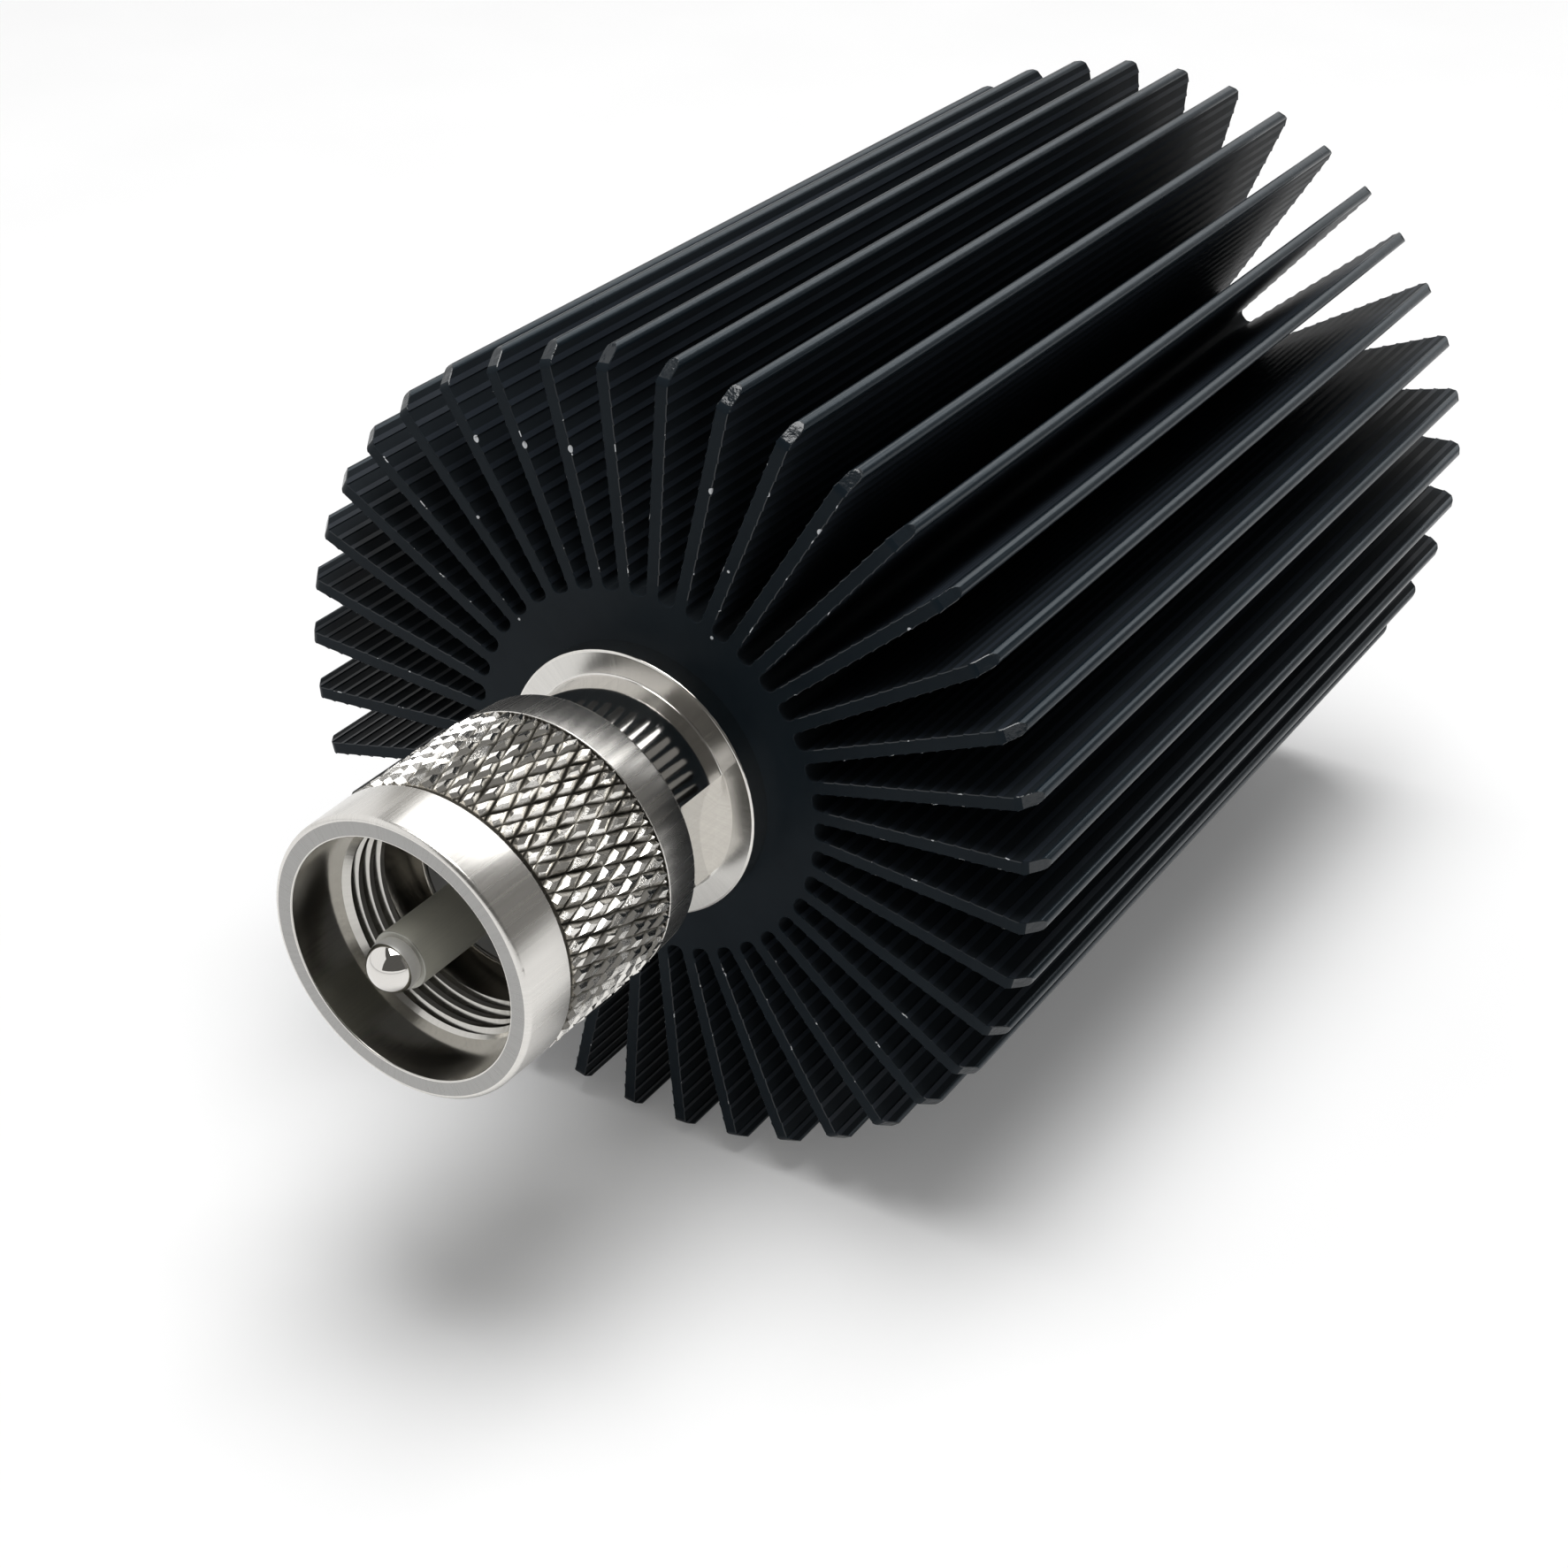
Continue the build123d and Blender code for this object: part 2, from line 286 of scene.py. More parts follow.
# Wear bares the metal in flecks, and each chip bares it round a place, in metres
def bareMetal(finish, wear, chips):
    masks = []
    if wear:
        masks.append(mathOf(finish, "GREATER_THAN", noiseOf(finish, anodise["fleckScale"]), wear))
    for place, reach in chips:
        gap = vectorMathOf(finish, "DISTANCE", objectPlace(finish))
        gap.inputs[1].default_value = place
        masks.append(mathOf(finish, "LESS_THAN", gap.outputs["Value"], reach))
    bare = masks[0]
    for mask in masks[1:]:
        bare = mathOf(finish, "MAXIMUM", bare, mask)
    return bare


anodise = {
    "dark": (0.006, 0.0105, 0.0148),
    "light": (0.009, 0.0145, 0.0195),
    "metal": (0.72, 0.74, 0.76),
    "cloudScale": 220,
    "sheenScale": 700,
    "dentScale": 1500,
    "fleckScale": 1100,
    "dents": 0.000012,
}


def blackAnodise(name, specular, roughness, dark=anodise["dark"], light=anodise["light"],
                 dents=anodise["dents"], tint=(1, 1, 1), wear=0, chips=()):
    finish, shader = newFinish(name)
    colour = cloudsOf(finish, noiseOf(finish, anodise["cloudScale"]), dark, light)
    if wear or chips:
        blend = addNode(finish, "ShaderNodeMix", data_type="RGBA")
        joinTo(finish, bareMetal(finish, wear, chips), blend, 0)
        joinTo(finish, colour, blend, 6)
        blend.inputs[7].default_value = (*anodise["metal"], 1)
        colour = blend.outputs[2]
    joinTo(finish, colour, shader, "Base Color")
    roughen(finish, shader, anodise, roughness, dents)
    shader.inputs["Specular IOR Level"].default_value = specular
    shader.inputs["Specular Tint"].default_value = (*tint, 1)
    return finish


nickel = {
    "colour": (0.74, 0.72, 0.685),
    "streakTone": 0.93,
    "streakScale": 45,
}


# Turned faces carry grooves round the axis, which draw the highlights out
def nickelPlate(name, roughness, colour=nickel["colour"], turned=0.0, metallic=1.0):
    finish, shader = newFinish(name)
    streaked = [nickel["streakTone"] * part for part in colour]
    tone = rampOf(finish, streaksOf(finish), [(0.35, streaked), (0.65, colour)])
    joinTo(finish, tone, shader, "Base Color")
    shader.inputs["Metallic"].default_value = metallic
    joinTo(finish, rangeOf(finish, streaksOf(finish), *roughness), shader, "Roughness")
    if turned:
        tangent = addNode(finish, "ShaderNodeTangent", direction_type="RADIAL", axis="Y")
        joinTo(finish, tangent.outputs["Tangent"], shader, "Tangent")
        shader.inputs["Anisotropic"].default_value = turned
        shader.inputs["Anisotropic Rotation"].default_value = 0.25      # a quarter turn
    return finish


# Faint streaks along the axis, which change with the angle round it only
def streaksOf(finish):
    outward = vectorMathOf(finish, "NORMALIZE", outwardOf(finish))
    return noiseOf(finish, nickel["streakScale"], outward.outputs["Vector"])


# From the axis to the place, in metres, square to the axis
def outwardOf(finish):
    centred = addNode(finish, "ShaderNodeMapping", [("Vector", objectPlace(finish))],
                      Location=(0, 0, -axisHeight), Scale=(1, 0, 1))
    return centred.outputs["Vector"]


# How far a place is from the axis, in metres
def reachOf(finish):
    return vectorMathOf(finish, "LENGTH", outwardOf(finish)).outputs["Value"]


knurl = {
    # tones from the valleys to the tops: the dark valley tone is painted shade
    "tones": [(0.3, (0.08, 0.075, 0.065)), (0.5, (0.34, 0.325, 0.29)), (0.68, (0.78, 0.76, 0.72))],
    "dullness": [(0.35, (0.4,) * 3), (0.8, (0.18,) * 3)],
    "fleckScale": 1300,
    "fleckShare": 0.5,
    "dentScale": 6000,
    "dents": 0.00001,
}


# Bright tops on dark, dull valleys; the valleys' dark tone, which follows the depth, is painted
# shade
def knurlNickel(tops, valleys):
    finish, shader = newFinish("knurlNickel")
    shader.inputs["Metallic"].default_value = 1
    height = addNode(finish, "ShaderNodeMapRange", [("Value", reachOf(finish))])
    height.inputs["From Min"].default_value = valleys / inMillimetres
    height.inputs["From Max"].default_value = tops / inMillimetres
    flecks = mathOf(finish, "MULTIPLY", noiseOf(finish, knurl["fleckScale"]), knurl["fleckShare"])
    # The depth gives the painted shade in the valleys, and the flecks a random tone on top of it
    depthShadeAndFlecks = mathOf(finish, "ADD", flecks, height.outputs["Result"])
    dents = bumpOf(finish, noiseOf(finish, knurl["dentScale"]), knurl["dents"])
    joinTo(finish, rampOf(finish, depthShadeAndFlecks, knurl["tones"]), shader, "Base Color")
    joinTo(finish, rampOf(finish, depthShadeAndFlecks, knurl["dullness"]), shader, "Roughness")
    joinTo(finish, dents, shader, "Normal")
    return finish


plain = {
    "cloudScale": 600,
    "sheenScale": 1800,
    "dentScale": 4800,
    "dents": 0.000004,
}


def plainFinish(name, dark, light, roughness, metallic=0.0):
    finish, shader = newFinish(name)
    colour = cloudsOf(finish, noiseOf(finish, plain["cloudScale"]), dark, light)
    joinTo(finish, colour, shader, "Base Color")
    roughen(finish, shader, plain, roughness, plain["dents"])
    shader.inputs["Metallic"].default_value = metallic
    return finish


print("finishes")
# Where the black is chipped off the fins' fronts: radius, angle in degrees and reach
chipPlaces = [
    (24.98, 120.2, 0.28),
    (23.69, 111.2, 0.26),
    (23.19, 102.15, 0.27),
    (23.1, 75.3, 0.22),
    (25.6, 57.4, 0.22),
    (20.44, 129.2, 0.12),
    (13.4, 137.8, 0.1),
    (26.2, 39.5, 0.16),
    (13.3, 64.6, 0.12),
    (18.5, 67.6, 0.1),
]


def chipAt(radius, angle, reach):
    across = radius * cos(radians(angle)) / inMillimetres
    up = radius * sin(radians(angle)) / inMillimetres
    return (across, hubFront, axisHeight + up), reach / inMillimetres


chips = [chipAt(*chip) for chip in chipPlaces]
# Sides and gap floors: a lighter tone than the hub's and fins' fronts, a painted lift of the shade
# between the fins
sidePaintedShadeLiftFinish = blackAnodise("blackAnodise", specular=0.016, roughness=(0.36, 0.46), dents=0.000003,
                          dark=(0.0135, 0.0165, 0.0195), light=(0.016, 0.02, 0.0235), chips=chips)
# Rib faces: a lighter tone than the sides, a painted highlight where the ribs catch the light
ribPaintedHighlightFinish = blackAnodise("ribAnodisePaintedHighlight", specular=0.05, roughness=(0.3, 0.4), dents=0.000003,
                         dark=(0.0185, 0.023, 0.0295), light=(0.0225, 0.028, 0.036), chips=chips)
frontFinish = blackAnodise("anodisedFront", specular=0.08, roughness=(0.3, 0.42), chips=chips)
tipFinish = blackAnodise("anodisedEdge", specular=0.3, roughness=(0.24, 0.34), tint=(0.72, 0.88, 1))
cornerFinish = blackAnodise("dentedCorner", specular=0.5, roughness=(0.14, 0.26), dents=0.00009)
breakFinish = blackAnodise("wornEdge", specular=0.5, roughness=(0.25, 0.4), wear=0.67, chips=chips)
satinNickel = nickelPlate("satinNickel", roughness=(0.2, 0.32))
# The nut's front face, painted a darker grey than its nickel: a painted shade
nutFacePaintedShadeNickel = nickelPlate("nutFacePaintedShadeNickel", roughness=(0.24, 0.32),
                            colour=(0.36, 0.355, 0.345), turned=0.5)
turnedNickel = nickelPlate("turnedNickel", roughness=(0.16, 0.22),
                           colour=(0.66, 0.645, 0.615), turned=0.8)
brightNickel = nickelPlate("brightNickel", roughness=(0.06, 0.12))
# The bore's nickel, painted darker than the outside: a painted shade inside the nut
borePaintedShadeNickel = nickelPlate("borePaintedShadeNickel", roughness=(0.16, 0.22), colour=(0.57, 0.555, 0.52))
rodNickel = nickelPlate("pinNickel", roughness=(0.36, 0.44),
                        colour=(0.66, 0.655, 0.58), metallic=0.72)
# The rod's end face, painted dark: a painted shade where the ball meets the rod
rodEndPaintedShadeNickel = nickelPlate("rodEndPaintedShadeNickel", roughness=(0.4, 0.48),
                           colour=(0.36, 0.355, 0.32), metallic=0.72)
# The ball's rear, painted a light, partly matte tone: a painted highlight in place of its dark
# reflections
ballRearPaintedHighlightNickel = nickelPlate("ballRearPaintedHighlightNickel", roughness=(0.3, 0.36),
                             colour=(0.8, 0.79, 0.76), metallic=0.6)
tipNickel = nickelPlate("tipNickel", roughness=(0.03, 0.05))
greyInsulator = plainFinish("greyInsulator", (0.22, 0.22, 0.215), (0.27, 0.27, 0.265), (0.4, 0.55))
# The inner parts: a name, a dark and a light tone, the roughness, and 1 for a metal
innerTones = {
    "rear_insulator": ("whiteInsulator", (0.72, 0.72, 0.7), (0.82, 0.82, 0.8), (0.35, 0.5), 0),
    "nut_retaining_ring": ("springSteel", (0.25, 0.25, 0.26), (0.4, 0.4, 0.41), (0.25, 0.4), 1),
    "insulator_ring": ("bareBrass", (0.6, 0.42, 0.16), (0.72, 0.52, 0.22), (0.2, 0.35), 1),
    "resistor_flange": ("nickelledCopper", (0.6, 0.58, 0.54), (0.7, 0.68, 0.64), (0.2, 0.35), 1),
    "resistor_substrate": ("whiteCeramic", (0.76, 0.75, 0.72), (0.86, 0.85, 0.83), (0.45, 0.6), 0),
    "resistor_film": ("resistiveFilm", (0.015, 0.013, 0.012), (0.03, 0.027, 0.025), (0.5, 0.65), 0),
    "input_pad": ("silverPad", (0.72, 0.71, 0.68), (0.84, 0.83, 0.8), (0.3, 0.45), 1),
    "resistor_tab": ("silverStrip", (0.8, 0.79, 0.76), (0.9, 0.89, 0.86), (0.2, 0.3), 1),
    "resistor_screws": ("screwSteel", (0.42, 0.42, 0.43), (0.56, 0.56, 0.57), (0.25, 0.4), 1),
}
innerFinishes = {node: plainFinish(*tones) for node, tones in innerTones.items()}
sharedFinishes = {
    "ground_pad": "input_pad",
    "resistor_lid": "resistor_substrate",
    "screw_washers": "resistor_screws",
}


# Heat sink: one fin with its share of the hub, spun round forty times

print("heat sink")
sink = {
    "fins": 40,
    "finThickness": 0.9,
    "tipRadius": 30.0,
    "tipRound": 0.42,
    "tipSteps": 6,
    "hubRadius": 13.5,
    "rootFillet": 0.5,
    "filletSteps": 5,
    "ribs": 13,
    "ribPitch": 1.205,
    "outerRib": 28.95,
    "ribFacet": 0.38,
    "ribReturn": 0.06,
    "ribHeight": 0.07,
    "lengthwiseCuts": 4,
    "frontCornerHeight": 1.1,
    "frontCornerLength": 1.5,
    "frontCornerRound": 0.8,
    "rearCornerRound": 1.5,
    "cornerFacets": 4,
    "edgeBevel": 0.05,
    "breakReach": 2.5,
    "sharpAngle": 65,
    "ribAngle": 8,
    "creaseLength": 0.1,
    "frontFacing": -0.62,       # a face that looks less far forward belongs to the sloping corner
    "breakFacing": (-0.9, -0.4),
    "finMargin": 0.05,
    "filletMargin": 0.7,
    "breakMargin": 1.2,
    "cornerMargin": 0.3,
    "boreRadius": 8.0,
    "boreDepth": 9.0,
    "cavityRadius": 7.59,
    "cavityDepth": 17.0,
}
sinkLength = (sinkHigh[1] - sinkLow[1]) * inMillimetres
pitchAngle = 2 * pi / sink["fins"]


# The left side of one fin, from the middle of the hub's gap out to the tip
def finSide():
    side = sink["finThickness"] / 2
    fillet = sink["rootFillet"]
    hub = sink["hubRadius"]
    across = side + fillet
    up = ((hub + fillet) ** 2 - across ** 2) ** 0.5
    points = [(-hub * sin(pitchAngle / 2), hub * cos(pitchAngle / 2))]
    hubward = atan2(-up, across)
    for step in range(sink["filletSteps"] + 1):
        angle = hubward * (1 - step / sink["filletSteps"])
        points.append((-across + fillet * cos(angle), up + fillet * sin(angle)))
    for rib in reversed(range(sink["ribs"])):
        outerFoot = sink["outerRib"] - sink["ribPitch"] * rib + sink["ribFacet"] / 2
        crest = outerFoot - sink["ribFacet"]
        points.append((-side, crest - sink["ribReturn"]))
        points.append((-side - sink["ribHeight"], crest))
        points.append((-side, outerFoot))
    for step in range(sink["tipSteps"] + 1):
        angle = pi - pi / 2 * step / sink["tipSteps"]
        points.append((
            sink["tipRound"] * (1 + cos(angle)) - side,
            sink["tipRadius"] - sink["tipRound"] * (1 - sin(angle)),
        ))
    return points


def modelHeatSink():
    leftSide = finSide()
    rightSide = [(-across, up) for across, up in reversed(leftSide)]
    boreAcross = sink["boreRadius"] * sin(pitchAngle / 2)
    boreUp = sink["boreRadius"] * cos(pitchAngle / 2)
    outline = [(-boreAcross, boreUp)] + leftSide + rightSide + [(boreAcross, boreUp)]
    piece = drawOutline("heatSink", [(across, 0, up) for across, up in outline])
    bpy.ops.mesh.select_all(action="SELECT")
    bpy.ops.mesh.edge_face_add()
    selectWhere("EDGE", lambda edge: all(isOnFin(vert.co) for vert in edge.verts))
    move = (0, sinkLength / sink["lengthwiseCuts"], 0)
    for cut in range(sink["lengthwiseCuts"]):
        bpy.ops.mesh.extrude_edges_move(TRANSFORM_OT_translate={"value": move})
    corner = leftSide[0]
    selectWhere("VERT", lambda vert: vert.co.y > sinkLength - same
                and abs(vert.co.x - corner[0]) < same and abs(vert.co.z - corner[1]) < same)
    toAxis = (-corner[0], 0, -corner[1])
    bpy.ops.mesh.extrude_vertices_move(TRANSFORM_OT_translate={"value": toAxis})
    selectWhere("VERT", lambda vert: vert.co.y > sinkLength - same)
    bpy.ops.mesh.edge_face_add()

    front = Vector((0, -1, 0))
    slope = Vector((0, -sink["frontCornerHeight"], sink["frontCornerLength"])).normalized()
    outward = Vector((0, 0, 1))
    rear = Vector((0, 1, 0))
    slopeStart = Vector((0, 0, sink["tipRadius"] - sink["frontCornerHeight"]))
    slopeEnd = Vector((0, sink["frontCornerLength"], sink["tipRadius"]))
    rearCorner = Vector((0, sinkLength, sink["tipRadius"]))
    cutFinCorner(slopeStart, slope)
    roundFinCorner(slopeStart, front, slope, sink["frontCornerRound"])
    roundFinCorner(slopeEnd, slope, outward, sink["frontCornerRound"])
    roundFinCorner(rearCorner, outward, rear, sink["rearCornerRound"])
    bevelFinFront()

    bpy.ops.mesh.select_all(action="SELECT")
    bpy.ops.mesh.spin(steps=sink["fins"] - 1, dupli=True, angle=pitchAngle * (sink["fins"] - 1),
                      center=(0, 0, 0), axis=(0, 1, 0))
    cleanShell()
    selectRing(0, sink["boreRadius"])
    growRings(0, sink["boreRadius"], [
        (sink["boreDepth"], sink["boreRadius"]),
        (sink["boreDepth"], sink["cavityRadius"]),
        (sink["cavityDepth"], sink["cavityRadius"]),
    ])
    bpy.ops.mesh.edge_face_add()
    cleanShell()
    bpy.ops.transform.rotate(value=pitchAngle / 2, orient_axis="Y", center_override=(0, 0, 0))
    return piece


def cutFinCorner(point, normal):
    bpy.ops.mesh.select_all(action="SELECT")
    bpy.ops.mesh.bisect(plane_co=point, plane_no=normal, use_fill=True, clear_outer=True,
                        threshold=cutTolerance)


# Flat cuts round a corner that lies between two normals
def roundFinCorner(corner, normal, nextNormal, rounding):
    middle = (normal + nextNormal).normalized()
    centre = corner - middle * rounding / cos(normal.angle(nextNormal) / 2)
    for facet in range(sink["cornerFacets"]):
        turned = normal.slerp(nextNormal, (facet + 0.5) / sink["cornerFacets"])
        cutFinCorner(centre + turned * rounding, turned)


def isOnFin(point):
    return offAxis(point) > sink["hubRadius"] - sink["finMargin"]


# Whether the faces on the two sides of an edge meet at more than an angle in degrees
def isFolded(edge, angle):
    return len(edge.link_faces) == 2 and edge.calc_face_angle() > radians(angle)


# A fine break on the sharp edges round a fin's front and its sloping corner
def bevelFinFront():
    def isSharpFront(edge):
        atFront = all(vert.co.y < sink["breakReach"] and isOnFin(vert.co) for vert in edge.verts)
        return atFront and isFolded(edge, sink["sharpAngle"])

    selectWhere("EDGE", isSharpFront)
    bpy.ops.mesh.bevel(offset=sink["edgeBevel"], segments=1, affect="EDGES")


# The rounded tips, which shine more than the sides
def isFinTip(face):
    middle = face.calc_center_median()
    isLong = middle.y < sinkLength - sink["rearCornerRound"]
    return isLong and offAxis(middle) > sink["tipRadius"] - sink["tipRound"]


# The sloping corners at the front of the fins
def isFinCorner(face):
    middle = face.calc_center_median()
    isOuter = offAxis(middle) > sink["tipRadius"] - sink["frontCornerHeight"] - sink["cornerMargin"]
    isFront = middle.y < sink["frontCornerLength"] + sink["cornerMargin"]
    return isOuter and isFront and sink["frontFacing"] < face.normal.y < -leaning


# The outward face of each fine rib, away from the rounded roots and tips, which gets a lighter
# colour as a painted highlight
def isRibFacet(face):
    middle = face.calc_center_median()
    outward = Vector((middle.x, 0, middle.z)).normalized()
    innermost = sink["hubRadius"] + sink["filletMargin"]
    onSide = innermost < offAxis(middle) < sink["tipRadius"] - sink["tipRound"] - same
    return onSide and abs(face.normal.y) < leaning and face.normal.dot(outward) > leaning


def isSinkFront(face):
    atFront = face.calc_center_median().y < sink["frontCornerLength"]
    return atFront and face.normal.y < sink["frontFacing"]


# The fine breaks along the edges of the fins' fronts
def isFrontBreak(face):
    middle = face.calc_center_median()
    mostForward, leastForward = sink["breakFacing"]
    isBreak = middle.y < sink["edgeBevel"] and mostForward < face.normal.y < leastForward
    return isBreak and offAxis(middle) > sink["hubRadius"] + sink["breakMargin"]


# The creases between the ribs, which stay sharp
def isRibEdge(edge):
    isLengthwise = abs(edge.verts[0].co.y - edge.verts[1].co.y) > sink["creaseLength"]
    onSide = offAxis(edge.verts[0].co) < sink["tipRadius"] - sink["tipRound"] - same
    return isLengthwise and onSide and isFolded(edge, sink["ribAngle"])


heatSink = modelHeatSink()
selectWhere("EDGE", isRibEdge)
bpy.ops.mesh.mark_sharp()
paintPiece(heatSink, sidePaintedShadeLiftFinish, [
    (ribPaintedHighlightFinish, isRibFacet),
    (frontFinish, isSinkFront),
    (tipFinish, isFinTip),
    (cornerFinish, isFinCorner),
    (breakFinish, isFrontBreak),
])
placePiece(heatSink, "load", "heat_sink")


# Connector body

print("connector body")
body = {
    "steps": 128,
    "flangeRadius": 9.9,
    "flangeThickness": 1.7,
    "flangeRound": 0.18,
    "neckRadius": 8.1,
    "neckLength": 5.7,
    "neckRound": 0.3,
    "neckFillet": 0.15,
    "flatToFlat": 14.0,
    "flatAngle": -7.25,
    "flatMargin": 1.0,
    "journalRadius": 6.4,
    "journalRound": 0.12,
    "ringGrooveRadius": 5.7,
    "ringGrooveFront": -13.0,
    "ringGrooveRear": -10.7,
    "shankRadius": 7.9,
    "coaxRadius": 3.6,
    "frontBeadRadius": 6.1,
    "rearBeadRadius": 5.4,
    "rearBeadDepth": 5.0,
}


def modelConnectorBody():
    front = station(bodyLow[1])
    rear = station(bodyHigh[1])
    flangeFront = -body["flangeThickness"]
    neckFront = flangeFront - body["neckLength"]
    beadRear = station(beadHigh[1])
    corners = [
        (front, body["frontBeadRadius"], 0),
        (front, body["journalRadius"], body["journalRound"]),
        (body["ringGrooveFront"], body["journalRadius"], 0),
        (body["ringGrooveFront"], body["ringGrooveRadius"], 0),
        (body["ringGrooveRear"], body["ringGrooveRadius"], 0),
        (body["ringGrooveRear"], body["journalRadius"], 0),
        (neckFront, body["journalRadius"], 0),
        (neckFront, body["neckRadius"], body["neckRound"]),
        (flangeFront, body["neckRadius"], body["neckFillet"]),
        (flangeFront, body["flangeRadius"], body["flangeRound"]),
        (0, body["flangeRadius"], 0),
        (0, body["shankRadius"], 0),
        (rear, body["shankRadius"], body["flangeRound"]),
        (rear, body["rearBeadRadius"], 0),
        (rear - body["rearBeadDepth"], body["rearBeadRadius"], 0),
        (rear - body["rearBeadDepth"], body["coaxRadius"], 0),
        (beadRear, body["coaxRadius"], 0),
        (beadRear, body["frontBeadRadius"], 0),
        (front, body["frontBeadRadius"], 0),
    ]
    piece = turnPiece("connectorBody", corners, body["steps"])
    bpy.ops.object.mode_set(mode="OBJECT")
    for side in (-1, 1):
        cutAway(piece, flatCutter(side, neckFront, flangeFront))
    return piece


# A block beyond one flat of the neck, over the neck's whole length and a margin in front of it
def flatCutter(side, front, rear):
    length = rear - front + body["flatMargin"]
    angle = radians(body["flatAngle"])
    reach = side * (body["flatToFlat"] + body["neckRadius"]) / 2
    bpy.ops.object.select_all(action="DESELECT")
    bpy.ops.mesh.primitive_cube_add(
        size=1,
        location=(reach * cos(angle), rear - length / 2, reach * sin(angle)),
        rotation=(0, -angle, 0),
        scale=(body["neckRadius"], length, 3 * body["neckRadius"]),
    )
    bpy.ops.object.transform_apply(location=True, rotation=True, scale=True)
    return bpy.context.object


def isFlange(face):
    middle = face.calc_center_median()
    return abs(middle.y + body["flangeThickness"]) < same and offAxis(middle) > body["neckRadius"]


connectorBody = modelConnectorBody()
paintPiece(connectorBody, brightNickel, [(turnedNickel, isFlange)])
placePiece(connectorBody, "load", "connector_body")


# Coupling nut

print("coupling nut")
nut = {
    "radius": 9.9,
    "faceRound": 0.35,
    "rearRadius": 9.62,
    "rearRound": 0.3,
    "ringLength": 4.1,
    "ringTaper": 0.08,
    "ringRound": 0.08,
    "grooveWidth": 0.5,
    "grooveDepth": 0.5,
    "knurlLength": 10.0,
    "diamonds": 58,
    "columns": 7,
    "columnPitch": 1.48,
    "firstColumn": 0.55,
    "knurlDepth": 0.35,
    "flatShare": 38,
    "knurlJitter": 0.07,
    "knurlSeed": 7,
    "knurlMargin": 0.1,
    "knurlRunOut": 0.14,
    "knurlUndercut": 0.02,
    "bandDrop": 0.05,
    "bandRound": 0.06,
    "entryRadius": 8.4,
    "entryLength": 4.1,
    "entryRound": 0.12,
    "boreMargin": 0.05,
    "minorRadius": 7.47,
    "threadDepth": 0.4675,
    "threadPitch": 1.0583,
    "threadLength": 4.0,
    "threadLead": 0.4,
    "threadAngle": 60,
    "cutterDrop": 0.17,
    "cutterSteps": 72,
    "cavityRadius": 8.2,
    "lipLength": 5.4,
    "lipRadius": 6.6,
    "lipRound": 0.1,
    "seamFront": 1.0,
    "seamRear": 0.9,
    "ringSeatRadius": 7.5,
    "ringSeatFront": -11.9,
    "ringSeatRear": -10.7,
}


def modelCouplingNut():
    front = station(nutLow[1])
    rear = station(nutHigh[1])
    grooveFront = front + nut["ringLength"]
    knurlFront = grooveFront + nut["grooveWidth"]
    knurlRear = knurlFront + nut["knurlLength"]
    bandFront = knurlRear + nut["knurlRunOut"]
    valley = nut["radius"] - nut["knurlDepth"]
    peak = valley + nut["knurlDepth"] / (1 - nut["flatShare"] / 100)
    piece = knurlBand(knurlFront, knurlRear, valley, peak)

    grooveRadius = nut["radius"] - nut["grooveDepth"]
    threadFront = front + nut["entryLength"]
    threadRear = threadFront + nut["threadLength"]
    lipFront = rear - nut["lipLength"]
    edgeRadius = nut["radius"] - nut["ringTaper"]
    frontPath = roundPath([
        (knurlFront, grooveRadius, 0),
        (grooveFront, grooveRadius, 0),
        (grooveFront, nut["radius"], nut["ringRound"]),
        (front, edgeRadius, nut["faceRound"]),
        (front, nut["entryRadius"], nut["entryRound"]),
        (threadFront, nut["entryRadius"], 0),
        (threadFront, nut["minorRadius"] + nut["threadLead"], 0),
        (threadFront + nut["threadLead"], nut["minorRadius"], 0),
        (threadRear, nut["minorRadius"], 0),
        (threadRear, nut["cavityRadius"], 0),
        (lipFront, nut["cavityRadius"], 0),
        (lipFront, nut["lipRadius"], 0),
        (nut["ringSeatFront"], nut["lipRadius"], 0),
        (nut["ringSeatFront"], nut["ringSeatRadius"], 0),
        (nut["ringSeatRear"], nut["ringSeatRadius"], 0),
        (nut["ringSeatRear"], nut["lipRadius"], 0),
        (rear - nut["seamFront"], nut["lipRadius"], 0),
    ])
    selectEndLoop(knurlFront)
    startRing(knurlFront, grooveRadius)
    growRings(knurlFront, grooveRadius, frontPath[1:])
    rearPath = roundPath([
        (knurlRear, valley, 0),
        (bandFront, valley, 0),
        (bandFront, nut["radius"] - nut["bandDrop"], nut["bandRound"]),
        (rear, nut["rearRadius"], nut["rearRound"]),
        (rear, nut["lipRadius"], nut["lipRound"]),
        (rear - nut["seamRear"], nut["lipRadius"], 0),
    ])
    selectEndLoop(knurlRear)
    startRing(knurlRear, valley - nut["knurlUndercut"])
    growRings(knurlRear, valley - nut["knurlUndercut"], rearPath[1:])
    selectWhere("EDGE", lambda edge: edge.is_boundary)
    bpy.ops.mesh.bridge_edge_loops()
    cleanShell()
    bpy.ops.object.mode_set(mode="OBJECT")
    cutAway(piece, threadCutter(threadFront))
    return piece


